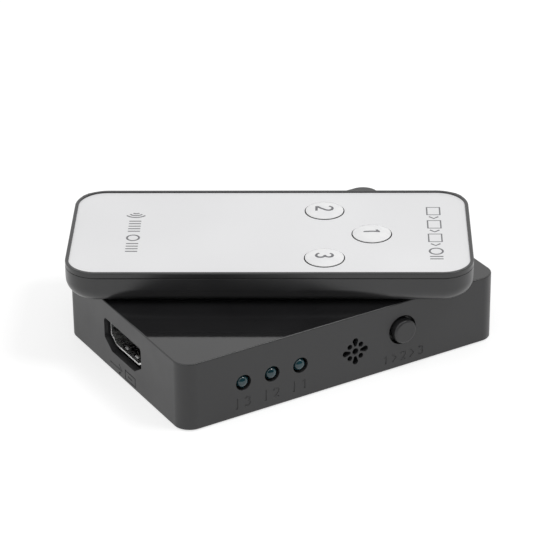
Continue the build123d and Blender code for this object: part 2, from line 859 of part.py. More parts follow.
# Upper shell of the remote: a frame around the face plate, with a lip inside the lower shell
with BuildPart() as remote_upper_shell:
    with BuildSketch(remote.offset(seam)):
        RectangleRounded(upper_length, upper_width, remote_corner - upper_inset)
    extrude(amount=seam_below)
    fillet(remote_upper_shell.faces().sort_by(Axis.Z)[-1].edges(), upper_edge)
    with BuildSketch(remote.offset(plate_bottom)):
        RectangleRounded(plate_length + 2 * plate_gap, plate_width + 2 * plate_gap, plate_corner + plate_gap)
    extrude(amount=plate_thick + plate_sunk, mode=Mode.SUBTRACT)
    lip_inset = remote_wall + lip_gap
    lip_length = remote_length - 2 * lip_inset
    lip_width = remote_width - 2 * lip_inset
    # Thin shadow gap between the two shells, outside the lip
    with BuildSketch(remote.offset(seam)):
        RectangleRounded(remote_length, remote_width, remote_corner)
        RectangleRounded(lip_length, lip_width, remote_corner - lip_inset, mode=Mode.SUBTRACT)
    extrude(amount=seam_gap, mode=Mode.SUBTRACT)
    with BuildSketch(remote.offset(seam - lip_height)):
        RectangleRounded(lip_length, lip_width, remote_corner - lip_inset)
        offset(amount=-lip_thick, mode=Mode.SUBTRACT)
    extrude(amount=lip_height + wall_bottom - seam)
    # Pins that hold the board down on the posts
    with BuildSketch(remote.offset(card_top)):
        with Locations((card_x, 0)):
            with GridLocations(post_span_x, post_span_y, 2, 2):
                Circle(post_radius)
    extrude(amount=wall_bottom - card_top)
    with BuildSketch(remote.offset(wall_bottom)):
        with Locations(*key_spots):
            Circle(key_radius + key_gap)
    extrude(amount=upper_wall, mode=Mode.SUBTRACT)
remote_upper_shell.part.label = "remote_upper_shell"
export_step(remote_upper_shell.part, "parts/remote_upper_shell.step")

# Face plate of the remote
with BuildPart() as remote_face_plate:
    with BuildSketch(remote.offset(plate_bottom)):
        RectangleRounded(plate_length, plate_width, plate_corner)
        with Locations(*key_spots):
            Circle(key_radius + key_gap, mode=Mode.SUBTRACT)
    extrude(amount=plate_thick)
remote_face_plate.part.label = "remote_face_plate"
export_step(remote_face_plate.part, "parts/remote_face_plate.step")

# Buttons of the remote: crowned discs, each held under the upper shell by its flange
crown_curve = (key_radius ** 2 + key_crown ** 2) / (2 * key_crown)
for i, (key_x, key_y) in enumerate(key_spots):
    with BuildPart(remote) as remote_button:
        with BuildSketch(remote.offset(wall_bottom)):
            with Locations((key_x, key_y)):
                Circle(key_radius)
        extrude(amount=plate_top + key_edge + key_crown - wall_bottom)
        with Locations((key_x, key_y, plate_top + key_edge + key_crown - crown_curve)):
            Sphere(crown_curve, mode=Mode.INTERSECT)
        with BuildSketch(remote.offset(wall_bottom)):
            with Locations((key_x, key_y)):
                Circle(key_flange)
        extrude(amount=-key_flange_thick)
    remote_button.part.label = f"remote_button_{i + 1}"
    export_step(remote_button.part, f"parts/remote_button_{i + 1}.step")

# Board of the remote
with BuildPart() as remote_board:
    with BuildSketch(remote.offset(card_bottom)):
        with Locations((card_x, 0)):
            RectangleRounded(card_length, card_width, card_corner)
    extrude(amount=card_thick)
remote_board.part.label = "remote_board"
export_step(remote_board.part, "parts/remote_board.step")

# Snap domes under the buttons
with BuildPart(remote) as snap_domes:
    with Locations(*[(x, y, card_top + dome_height / 2) for x, y in key_spots]):
        Cone(dome_radius, dome_top, dome_height)
snap_domes.part.label = "snap_domes"
export_step(snap_domes.part, "parts/snap_domes.step")

# Chip of the remote under its drop of resin
with BuildPart() as remote_chip:
    with BuildSketch(remote.offset(card_top)):
        with Locations((blob_x, 0)):
            Circle(blob_radius)
    extrude(amount=blob_height)
    fillet(remote_chip.faces().sort_by(Axis.Z)[-1].edges(), blob_edge)
remote_chip.part.label = "remote_chip"
export_step(remote_chip.part, "parts/remote_chip.step")

# Resonator under the board
with BuildPart() as resonator:
    with BuildSketch(remote.offset(card_bottom)):
        with Locations((resonator_x, 0)):
            Rectangle(resonator_length, resonator_width)
    extrude(amount=-resonator_height)
resonator.part.label = "resonator"
export_step(resonator.part, "parts/resonator.step")

# Infrared emitter at the right end, its leads and the dark lens in the end wall
emitter_tip = remote_length / 2 - lens_thick
emitter_root = emitter_tip - emitter_length
end_plane = Plane(origin=remote.from_local_coords((0, 0, 0)), x_dir=remote.y_dir, z_dir=remote.x_dir)
with BuildPart(remote) as infrared_emitter:
    with BuildSketch(end_plane.offset(emitter_root)):
        with Locations((0, emitter_height)):
            Circle(emitter_flange_radius)
    extrude(amount=emitter_flange)
    with BuildSketch(end_plane.offset(emitter_root)):
        with Locations((0, emitter_height)):
            Circle(emitter_radius)
    extrude(amount=emitter_length - emitter_radius)
    with Locations((emitter_tip - emitter_radius, 0, emitter_height)):
        Sphere(emitter_radius)
infrared_emitter.part.label = "infrared_emitter"
export_step(infrared_emitter.part, "parts/infrared_emitter.step")

with BuildPart() as emitter_leads:
    with BuildSketch(remote.offset(card_bottom)):
        with Locations((emitter_root - emitter_lead / 2, 0)):
            with GridLocations(emitter_lead, lead_spread, 1, 2):
                Rectangle(emitter_lead, lead_width)
    extrude(amount=-lead_width)
emitter_leads.part.label = "emitter_leads"
export_step(emitter_leads.part, "parts/emitter_leads.step")

with BuildPart() as remote_lens:
    with BuildSketch(remote.offset(emitter_height - lens_height / 2)):
        with Locations((remote_length / 2 - lens_thick / 2 + lens_proud, 0)):
            Rectangle(lens_thick + 2 * lens_proud, lens_width)
    extrude(amount=lens_height)
    add(tub(-lens_proud), mode=Mode.INTERSECT)
remote_lens.part.label = "remote_lens"
export_step(remote_lens.part, "parts/remote_lens.step")

# Battery tray: its end face carries on the curve of the shell, with grooves for a fingernail
with BuildPart() as battery_tray:
    with BuildSketch(remote.offset(tray_bottom)):
        with Locations((tray_x, 0)):
            Rectangle(tray_length, tray_width)
    extrude(amount=tray_top - tray_bottom)
    # The end wall stands as high as the cell, and closes the slot in the shell
    with BuildSketch(remote.offset(tray_top)):
        with Locations(((tray_end_wall - remote_length) / 2, 0)):
            Rectangle(tray_end_wall, tray_width)
    extrude(amount=cell_cap)
    with BuildSketch(remote.offset(cell_bottom)):
        with Locations((cell_x, 0)):
            Circle(cell_radius + cell_gap)
    extrude(amount=cell_height, mode=Mode.SUBTRACT)
    add(tub(0), mode=Mode.INTERSECT)
    with BuildSketch(remote.offset(cell_bottom + tray_groove)):
        with Locations((-remote_length / 2, 0)):
            with GridLocations(tray_groove, tray_groove_pitch, 1, tray_groove_count):
                Rectangle(2 * tray_groove_depth, tray_groove)
    extrude(amount=cell_height, mode=Mode.SUBTRACT)
battery_tray.part.label = "battery_tray"
export_step(battery_tray.part, "parts/battery_tray.step")

# Coin cell: a can with bevelled edges under a smaller cap
with BuildPart() as coin_cell:
    with BuildSketch(remote.offset(cell_bottom)):
        with Locations((cell_x, 0)):
            Circle(cell_radius)
    extrude(amount=cell_height - cell_cap)
    chamfer(coin_cell.edges().filter_by(GeomType.CIRCLE), cell_edge)
    with BuildSketch(remote.offset(cell_bottom + cell_height - cell_cap)):
        with Locations((cell_x, 0)):
            Circle(cell_cap_radius)
    extrude(amount=cell_cap)
coin_cell.part.label = "coin_cell"
export_step(coin_cell.part, "parts/coin_cell.step")

# Contact strips on the underside of the board, over the cell
with BuildPart() as battery_contacts:
    with BuildSketch(remote.offset(card_bottom)):
        with Locations((cell_x, 0)):
            with GridLocations(strip_length, strip_spread, 1, 2):
                Rectangle(strip_length, strip_width)
    extrude(amount=-strip_thick)
battery_contacts.part.label = "battery_contacts"
export_step(battery_contacts.part, "parts/battery_contacts.step")
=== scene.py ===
import json
from math import cos, radians, sin

import bpy
from mathutils import Matrix, Quaternion, Vector


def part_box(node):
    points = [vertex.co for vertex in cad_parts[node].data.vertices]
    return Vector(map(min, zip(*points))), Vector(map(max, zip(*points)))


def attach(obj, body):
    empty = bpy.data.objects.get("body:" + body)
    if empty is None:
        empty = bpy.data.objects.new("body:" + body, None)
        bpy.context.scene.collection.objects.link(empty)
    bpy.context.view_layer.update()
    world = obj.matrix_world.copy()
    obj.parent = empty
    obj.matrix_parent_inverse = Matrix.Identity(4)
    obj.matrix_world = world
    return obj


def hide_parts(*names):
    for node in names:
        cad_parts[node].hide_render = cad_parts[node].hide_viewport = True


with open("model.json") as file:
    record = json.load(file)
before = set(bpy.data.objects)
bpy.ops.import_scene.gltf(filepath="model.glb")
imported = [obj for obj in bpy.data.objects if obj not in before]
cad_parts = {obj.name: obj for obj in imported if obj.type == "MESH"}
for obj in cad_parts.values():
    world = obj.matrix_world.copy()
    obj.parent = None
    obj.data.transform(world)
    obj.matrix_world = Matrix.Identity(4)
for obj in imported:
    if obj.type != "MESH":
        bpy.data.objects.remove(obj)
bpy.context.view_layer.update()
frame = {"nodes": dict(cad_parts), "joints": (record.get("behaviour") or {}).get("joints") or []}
nodes = frame["nodes"]
mm = 0.001
print("frame loaded:", len(nodes), "nodes")

# The photo's camera: a long lens, left of the front and well above the box
view = {
    "place": (-258.28, -437.12, 282.27),   # mm
    "target": (3.11, 6.86, 10.0),   # mm
    "roll": -0.60,   # degrees
    "lens": 173.9,   # mm, on a sensor this wide:
    "sensor": 36,
    "clip": 0.01,   # m, nothing nearer is drawn
}

studio = {
    "fill": 0.56,   # what the white surround gives to diffuse surfaces
    "floorSize": 3.0,   # m
    # pale matt paint, evenly rolled: no gloss at all
    "paleFloor": {
        "colour": "fbfbfb",
        "shader": {"Roughness": 1.0, "Specular IOR Level": 0.0},
        "patterns": [],
    },
    "floorLift": 0.52,   # share of the floor that shows white to the camera, in gloss and through glass
    "floorGlow": 1.25,   # strength of that white
    "softBox": {"place": (-0.55, -0.22, 1.05), "size": 1.1, "power": 3.0},
    "sideBox": {"place": (0.45, -0.42, 0.95), "size": 0.36, "power": 4.2},
    # black card that only gloss shows
    "card": {"place": (0.0, -1.6, 1.25), "size": (4.0, 2.3), "tilt": 12},
    # black felt on the card: pressed wool that takes all light
    "blackFelt": {
        "colour": "0a0a0a",
        "shader": {"Roughness": 1.0},
        "patterns": [{"size": 3.0, "depth": 0.5}],
    },
}


def linear(code):
    # sRGB hex to the linear values that the shaders take
    values = []
    for start in (0, 2, 4):
        share = int(code[start:start + 2], 16) / 255
        values.append(share / 12.92 if share <= 0.04045 else ((share + 0.055) / 1.055) ** 2.4)
    return (*values, 1)


def addNode(tree, kind, settings=None, links=None):
    node = tree.nodes.new(kind)
    for name, value in (settings or {}).items():
        if isinstance(name, int):
            node.inputs[name].default_value = value
        elif hasattr(node, name):
            setattr(node, name, value)
        else:
            node.inputs[name].default_value = value
    for name, source in (links or {}).items():
        tree.links.new(source, node.inputs[name])
    return node


patternWays = {
    "detail": 3.0,   # of the clouds
    "cloudRoughness": 0.55,
    "glossSpan": (0.3, 0.7),   # the part of a pattern over which the roughness changes
    "tintSpan": (0.35, 0.65),   # and over which the tints change
    "trackSpan": (0.1, 0.9),   # the same for the tracks of a board
    "trackWidth": 0.07,   # as a share of their spacing
    "trackEdge": 0.1,
}

remoteTurn = 31.74   # degrees, as the remote lies on the box

# The finishes. What is under shader is the same all over. A pattern is clouds of a size in mm, or tracks
# of that spacing: it lifts the surface by a depth in mm, moves the roughness between two values and mixes
# two tints. Moulded grain is finer than 0.1 mm and wouldn't show, so it is drawn coarser than that.
looks = {
    # Black ABS moulded against a fine spark-eroded steel: an even dark satin, softly lit at grazing angles
    "satinAbs": {
        "colour": "262627",
        "shader": {"Roughness": 0.42, "IOR": 1.53},
        "patterns": [
            {"size": 0.22, "depth": 0.004},
            {"size": 9.0, "detail": 2.0, "roughness": (0.38, 0.46), "tints": ("242425", "282829")},
        ],
    },
    # The roof of the same moulding, from a polished mould face: a black mirror with the faintest waviness
    "polishedAbs": {
        "colour": "1d1d1e",
        "shader": {"Roughness": 0.05, "IOR": 1.58},
        "patterns": [
            {"size": 14.0, "detail": 1.0, "depth": 0.010, "tints": ("1b1b1c", "1f1f20")},
            {"size": 0.6, "roughness": (0.03, 0.09)},
        ],
    },
    # Black ABS from a coarsely eroded mould face, as on a cover that nobody looks at: dull and grainy
    "mattAbs": {
        "colour": "2a2a2b",
        "shader": {"Roughness": 0.62, "IOR": 1.5},
        "patterns": [
            {"size": 0.45, "depth": 0.018, "roughness": (0.55, 0.70)},
            {"size": 11.0, "detail": 2.0, "tints": ("272728", "2d2d2e")},
        ],
    },
    # Black ABS of the remote, half polished in the mould: a tight soft sheen on the rounded belly
    "remoteAbs": {
        "colour": "232324",
        "shader": {"Roughness": 0.30, "IOR": 1.57},
        "turn": remoteTurn,
        "patterns": [
            {"size": 0.25, "depth": 0.003},
            {"size": 12.0, "detail": 2.0, "roughness": (0.27, 0.34), "tints": ("212122", "262627")},
        ],
    },
    # Steel strip, nickel plated and folded: bright, hardly yellow, with the strip's faint rolling lines
    "nickelSheet": {
        "colour": "ebebea",
        "shader": {"Metallic": 1.0, "Roughness": 0.26},
        "stretch": (1, 1, 12),
        "patterns": [
            {"size": 0.9, "depth": 0.001, "roughness": (0.23, 0.3), "tints": ("e7e7e6", "efefee")},
        ],
    },
    # Black glass-filled nylon: a dry, faintly streaked moulding
    "glassFilledNylon": {
        "colour": "0d0d0e",
        "shader": {"Roughness": 0.6, "IOR": 1.5},
        "stretch": (1, 3, 1),
        "patterns": [
            {"size": 0.5, "depth": 0.006, "roughness": (0.52, 0.66), "tints": ("0b0b0c", "101011")},
        ],
    },
    # Copper alloy with a flash of gold, its colour taken down to a dull grey: painted shade for the dark
    # inside of the sockets
    "goldFlashPaintedShade": {
        "colour": "6a665d",
        "shader": {"Metallic": 1.0, "Roughness": 0.3},
        "patterns": [{"size": 0.3, "roughness": (0.24, 0.38), "tints": ("636058", "737067")}],
    },
    # Epoxy lamp lens, dyed so deep a teal that little light gets back out: dark glass, cast and glossy
    "tealEpoxy": {
        "colour": "15333a",
        "shader": {"Roughness": 0.07, "IOR": 1.55, "Transmission Weight": 0.12},
        "patterns": [
            {
                "size": 1.2,
                "detail": 1.0,
                "depth": 0.003,
                "roughness": (0.05, 0.10),
                "tints": ("122e35", "1a3c43"),
            },
        ],
    },
    # Epoxy that only infrared passes: nearly black, glossy, with a trace of red where it is thin
    "infraredResin": {
        "colour": "140d10",
        "shader": {"Roughness": 0.12, "IOR": 1.55, "Coat Weight": 0.3},
        "patterns": [{"size": 1.5, "detail": 1.0, "roughness": (0.08, 0.16), "tints": ("110b0e", "1a1013")}],
    },
    # Moulding compound of a chip: dull charcoal with fine filler specks
    "chipEpoxy": {
        "colour": "242424",
        "shader": {"Roughness": 0.55, "IOR": 1.5},
        "patterns": [
            {
                "size": 0.12,
                "detail": 2.0,
                "depth": 0.004,
                "roughness": (0.48, 0.64),
                "tints": ("1f1f1f", "2b2b2b"),
            },
        ],
    },
    # Copper dipped in tin: a soft grey metal with slight runs
    "tinnedCopper": {
        "colour": "c4c5c4",
        "shader": {"Metallic": 1.0, "Roughness": 0.32},
        "patterns": [{"size": 0.4, "depth": 0.006, "roughness": (0.25, 0.42), "tints": ("bcbdbc", "cdcecd")}],
    },
    # Steel screw, dark zinc: grey metal that is a little brighter on its high spots
    "zincSteel": {
        "colour": "8d8c89",
        "shader": {"Metallic": 1.0, "Roughness": 0.36},
        "patterns": [{"size": 0.5, "depth": 0.003, "roughness": (0.28, 0.46), "tints": ("7f7e7b", "989794")}],
    },
    # Pressed black rubber, a little chalky
    "footRubber": {
        "colour": "202021",
        "shader": {"Roughness": 0.82, "IOR": 1.5},
        "patterns": [{"size": 0.35, "depth": 0.012, "roughness": (0.75, 0.9), "tints": ("1b1b1c", "28282a")}],
    },
    # Black solder mask over copper: tracks show as a lighter grey under the glossy lacquer
    "boxMask": {
        "colour": "17181a",
        "shader": {"Roughness": 0.3, "IOR": 1.5},
        "patterns": [
            {"size": 4.2, "tracks": True, "depth": 0.03, "tints": ("151618", "2b2d2e")},
            {"size": 2.5, "depth": 0.004, "roughness": (0.24, 0.38)},
        ],
    },
    # Drawn aluminium can: pale metal with fine lines round it
    "drawnAluminium": {
        "colour": "c6c7c9",
        "shader": {"Metallic": 1.0, "Roughness": 0.3},
        "stretch": (1, 1, 10),
        "patterns": [{"size": 0.8, "roughness": (0.22, 0.4), "tints": ("bebfc1", "cfd0d2")}],
    },
    # Fired ceramic, tan, with a faint grit
    "firedCeramic": {
        "colour": "a98255",
        "shader": {"Roughness": 0.6, "IOR": 1.6},
        "patterns": [
            {"size": 0.15, "depth": 0.004, "roughness": (0.52, 0.68), "tints": ("9f784c", "b48d60")},
        ],
    },
    # Polyester film printed silver-white on its back: pale satin with a very fine metal fleck
    "silverFilm": {
        "colour": "e5e5e6",
        "shader": {"Roughness": 0.46, "IOR": 1.5},
        "turn": remoteTurn,
        "patterns": [
            {"size": 0.18, "depth": 0.0015, "roughness": (0.42, 0.52)},
            {"size": 30.0, "detail": 1.0, "tints": ("e3e3e4", "e7e7e8")},
        ],
    },
    # The same film over a key: white ink, pressed up while warm, so it is a little glossier
    "embossedFilm": {
        "colour": "e9e9ea",
        "shader": {"Roughness": 0.2, "IOR": 1.52},
        "turn": remoteTurn,
        "patterns": [
            {
                "size": 2.2,
                "detail": 1.0,
                "depth": 0.002,
                "roughness": (0.17, 0.24),
                "tints": ("e7e7e8", "ececec"),
            },
        ],
    },
    # Grey screen-printed ink: flat, with slightly ragged cover
    "screenInk": {
        "colour": "6f6f72",
        "shader": {"Roughness": 0.6, "IOR": 1.5},
        "turn": remoteTurn,
        "patterns": [{"size": 0.2, "roughness": (0.52, 0.68), "tints": ("68686b", "77777a")}],
    },
    # Nickel-plated steel of a coin cell: bright with a fine matt finish
    "cellSteel": {
        "colour": "cfcfcd",
        "shader": {"Metallic": 1.0, "Roughness": 0.28},
        "patterns": [
            {"size": 0.15, "depth": 0.002},
            {"size": 3.0, "roughness": (0.24, 0.36), "tints": ("c8c8c6", "d6d6d4")},
        ],
    },
}
looks["remoteMask"] = {**looks["boxMask"], "turn": remoteTurn}   # the same lacquer on the remote's board


def makeMaterial(name, look):
    # the shader's own values, then each pattern with its relief, its gloss and its tints
    material = bpy.data.materials.new(name)
    material.use_nodes = True
    tree = material.node_tree
    shader = tree.nodes["Principled BSDF"]
    for socket, value in {"Base Color": linear(look["colour"]), **look["shader"]}.items():
        shader.inputs[socket].default_value = value
    place = addNode(tree, "ShaderNodeTexCoord")
    turned = {"Rotation": (0, 0, radians(look.get("turn", 0))), "Scale": look.get("stretch", (1, 1, 1))}
    space = addNode(tree, "ShaderNodeMapping", turned, {"Vector": place.outputs["Object"]})
    relief = {}
    for pattern in look["patterns"]:
        scale = 1 / (pattern["size"] * mm)
        if "tracks" in pattern:
            black, white = (0, 0, 0, 1), (1, 1, 1, 1)
            settings = {
                "Scale": scale,
                "Mortar Size": patternWays["trackWidth"],
                "Mortar Smooth": patternWays["trackEdge"],
                "Color1": black,
                "Color2": black,
                "Mortar": white,
            }
            kind, output, tintSpan = "ShaderNodeTexBrick", "Color", patternWays["trackSpan"]
        else:
            detail = pattern.get("detail", patternWays["detail"])
            settings = {"Scale": scale, "Detail": detail, "Roughness": patternWays["cloudRoughness"]}
            kind, output, tintSpan = "ShaderNodeTexNoise", "Fac", patternWays["tintSpan"]
        shade = addNode(tree, kind, settings, {"Vector": space.outputs["Vector"]}).outputs[output]
        if "depth" in pattern:
            # each relief lies on the one before it, and the shader takes the last
            settings = {"Strength": 1.0, "Distance": pattern["depth"] * mm}
            bump = addNode(tree, "ShaderNodeBump", settings, {"Height": shade, **relief})
            relief = {"Normal": bump.outputs["Normal"]}
            tree.links.new(relief["Normal"], shader.inputs["Normal"])
        if "roughness" in pattern:
            fromLow, fromHigh = patternWays["glossSpan"]
            low, high = pattern["roughness"]
            settings = {"From Min": fromLow, "From Max": fromHigh, "To Min": low, "To Max": high}
            gloss = addNode(tree, "ShaderNodeMapRange", settings, {"Value": shade})
            tree.links.new(gloss.outputs["Result"], shader.inputs["Roughness"])
        if "tints" in pattern:
            settings = {"From Min": tintSpan[0], "From Max": tintSpan[1]}
            share = addNode(tree, "ShaderNodeMapRange", settings, {"Value": shade})
            first, second = pattern["tints"]
            settings = {"data_type": "RGBA", 6: linear(first), 7: linear(second)}
            mixed = addNode(tree, "ShaderNodeMix", settings, {0: share.outputs["Result"]})
            tree.links.new(mixed.outputs[2], shader.inputs["Base Color"])
    return material


finishes = {name: makeMaterial(name, look) for name, look in looks.items()}
print("finishes made:", len(finishes))


def activate(piece):
    if bpy.context.object and bpy.context.object.mode != "OBJECT":
        bpy.ops.object.mode_set(mode="OBJECT")
    bpy.ops.object.select_all(action="DESELECT")
    piece.select_set(True)
    bpy.context.view_layer.objects.active = piece


def applyModifier(piece, kind, settings):
    activate(piece)
    modifier = piece.modifiers.new(kind.lower(), kind)
    for name, value in settings.items():
        setattr(modifier, name, value)
    bpy.ops.object.modifier_apply(modifier=modifier.name)


def startEdit(piece):
    activate(piece)
    bpy.ops.object.mode_set(mode="EDIT")
    bpy.ops.mesh.select_all(action="SELECT")


merging = {
    "weld": 0.002,   # mm, corners this close become one
    "flat": 0.5,   # degrees, faces this nearly in line become one
}


def mergeFlats(piece):
    startEdit(piece)
    bpy.ops.mesh.remove_doubles(threshold=merging["weld"] * mm)
    bpy.ops.mesh.dissolve_limited(angle_limit=radians(merging["flat"]))
    bpy.ops.object.mode_set(mode="OBJECT")


def copyNode(node, name):
    # a CAD node's mesh is loose triangles, so its copy is merged and its flat faces are joined again
    mesh = nodes[node].data.copy()
    mesh.materials.clear()
    piece = bpy.data.objects.new(name, mesh)
    bpy.context.scene.collection.objects.link(piece)
    activate(piece)
    if mesh.has_custom_normals:
        bpy.ops.mesh.customdata_custom_splitnormals_clear()
    mergeFlats(piece)
    return piece


def breakEdges(piece, width, steps=2, angle=40, leaves=None):
    # takes width in mm off every edge steeper than the angle, but for the places that leaves() names
    startEdit(piece)
    bpy.ops.mesh.select_mode(type="EDGE")
    bpy.ops.mesh.select_all(action="DESELECT")
    bpy.ops.mesh.edges_select_sharp(sharpness=radians(angle))
    bpy.ops.object.mode_set(mode="OBJECT")
    mesh = piece.data
    weights = mesh.attributes.new("bevel_weight_edge", "FLOAT", "EDGE")
    for edge in mesh.edges:
        ends = [mesh.vertices[corner].co for corner in edge.vertices]
        kept = leaves is not None and leaves((ends[0] + ends[1]) / 2)
        weights.data[edge.index].value = 1.0 if edge.select and not kept else 0.0
    settings = {
        "width": width * mm,
        "segments": steps,
        "limit_method": "WEIGHT",
        "use_clamp_overlap": False,
        "loop_slide": False,
    }
    applyModifier(piece, "BEVEL", settings)


def cutAway(piece, cutter):
    # the cutter's faces have to look outwards, or the cut takes all but its inside
    startEdit(cutter)
    bpy.ops.mesh.remove_doubles(threshold=merging["weld"] * mm)
    bpy.ops.mesh.normals_make_consistent(inside=False)
    bpy.ops.object.mode_set(mode="OBJECT")
    settings = {"operation": "DIFFERENCE", "solver": "EXACT", "use_self": True, "object": cutter}
    applyModifier(piece, "BOOLEAN", settings)
    bpy.data.objects.remove(cutter)


def joinPieces(pieces):
    activate(pieces[0])
    for piece in pieces:
        piece.select_set(True)
    bpy.ops.object.join()
    return bpy.context.object


shading = {
    "smooth": 35,   # degrees, edges up to this steep are shaded as curves
    "weight": 60,   # how much more a large face counts than a small one
    "square": 0.99999,   # a face this nearly square to an axis takes exactly its direction
}


def squareNormals(piece):
    # without this, a crease shows where a flat wall is split
    mesh = piece.data
    normals = [corner.vector.copy() for corner in mesh.corner_normals]
    for face in mesh.polygons:
        if max(abs(share) for share in face.normal) > shading["square"]:
            straight = Vector([round(share) for share in face.normal])
            for corner in face.loop_indices:
                normals[corner] = straight
    mesh.normals_split_custom_set(normals)


def finishPiece(piece, body, finish, standsFor=(), smooth=shading["smooth"]):
    if not piece.data.materials:
        piece.data.materials.append(finishes[finish])
    activate(piece)
    bpy.ops.object.shade_smooth_by_angle(angle=radians(smooth))
    applyModifier(piece, "WEIGHTED_NORMAL", {"keep_sharp": True, "weight": shading["weight"]})
    squareNormals(piece)
    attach(piece, body)
    if standsFor:
        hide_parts(*standsFor)


def facePlace(origin, across, up):
    # matrix of a flat face: local X across it, local Y up it, local Z out of it
    across = Vector(across).normalized()
    up = Vector(up).normalized()
    out = across.cross(up)
    place = Matrix((across, up, out)).transposed().to_4x4()
    place.translation = Vector(origin)
    return place


def arc(x, y, radius, start, end, steps=12):
    angles = [radians(start + (end - start) * i / steps) for i in range(steps + 1)]
    return [(x + radius * cos(a), y + radius * sin(a)) for a in angles]


# Plain digits as drawn lines, one unit high and centred on the origin
digitLines = {
    1: [
        [(0.04, 0.5), (0.04, 0.17), (0.04, -0.17), (0.04, -0.5)],
        [(-0.2, 0.29), (-0.07, 0.36), (0.0, 0.42)],
    ],
    2: [
        arc(0, 0.21, 0.29, 165, -38) + [(0.02, -0.24), (-0.27, -0.47)],
        [(-0.3, -0.5), (0, -0.5), (0.31, -0.5)],
    ],
    3: [arc(0, 0.25, 0.25, 160, -80), arc(0, -0.22, 0.28, 85, -160)],
}


def addStroke(points, width, name, closed=False, flat=1.0, roundness=2):
    # a drawn line through points in mm on the XY plane, round in section, or flattened to a share of that
    curve = bpy.data.curves.new(name, "CURVE")
    curve.dimensions = "3D"
    curve.bevel_depth = width / 2 * mm
    curve.bevel_resolution = roundness
    curve.use_fill_caps = True
    spline = curve.splines.new("POLY")
    spline.points.add(len(points) - 1)
    for point, (x, y) in zip(spline.points, points):
        point.co = (x * mm, y * mm, 0, 1)
    spline.use_cyclic_u = closed
    stroke = bpy.data.objects.new(name, curve)
    bpy.context.scene.collection.objects.link(stroke)
    activate(stroke)
    bpy.ops.object.convert(target="MESH")
    stroke.data.transform(Matrix.Diagonal((1, 1, flat, 1)))
    return stroke


def addDigit(number, height, width, name, flat):
    # height is between the middles of its highest and lowest lines
    parts = []
    for line in digitLines[number]:
        parts.append(addStroke([(x * height, y * height) for x, y in line], width, name, False, flat))
    return joinPieces(parts)


def dressNode(node, finish):
    # the node's mesh stays as it is, and only its material changes
    for slot in nodes[node].material_slots:
        slot.material = finishes[finish]
    if not nodes[node].data.materials:
        nodes[node].data.materials.append(finishes[finish])


# Top case
caseTop = {
    "edge": 0.07,   # mm, taken off the sharp edges of the cut-outs
    "polishFrom": 0.93,   # faces that look up more than this are the polished roof,
    "polishDeep": 0.4,   # down to this far under its top
    "lineWidth": 0.4,   # of the cut marks
    "lineFlat": 0.75,   # their depth as a share of half their width
    "digitHeight": 2.5,
    "digitLevel": 3.3,
    "digitShift": 0.85,   # the digit stands right of its light's middle
    "tickShift": -1.6,   # and a plain tick left of it
    "selectLevel": 2.8,   # under the button: three digits with chevrons between them
    "selectHeight": 1.9,
    "selectFirst": 10.2,
    "selectStep": 4.4,
    "outputLevel": 1.95,   # under the output socket: an arrow's shaft and head, a screen and a line on it
    "outputStrokes": [
        ([(-5.9, 0), (-4.2, 0), (-2.5, 0), (-0.7, 0)], False),
        ([(-2.0, 1.1), (-0.6, 0), (-2.0, -1.1)], False),
        ([(0.8, -1.0), (5.2, -1.0), (5.2, 1.0), (0.8, 1.0)], True),
        ([(2.1, 0), (3.9, 0)], False),
    ],
    "snap": 0.005,   # corners this near a wall's plane go back onto it after the cut
    "markBottom": 0.6,   # the marks' edges stay as cut from here
    "markFrontTop": 5.2,   # to here on the front,
    "markLeftTop": 3.7,   # to here on the left,
    "markDeep": 0.5,   # and this far into the walls
}


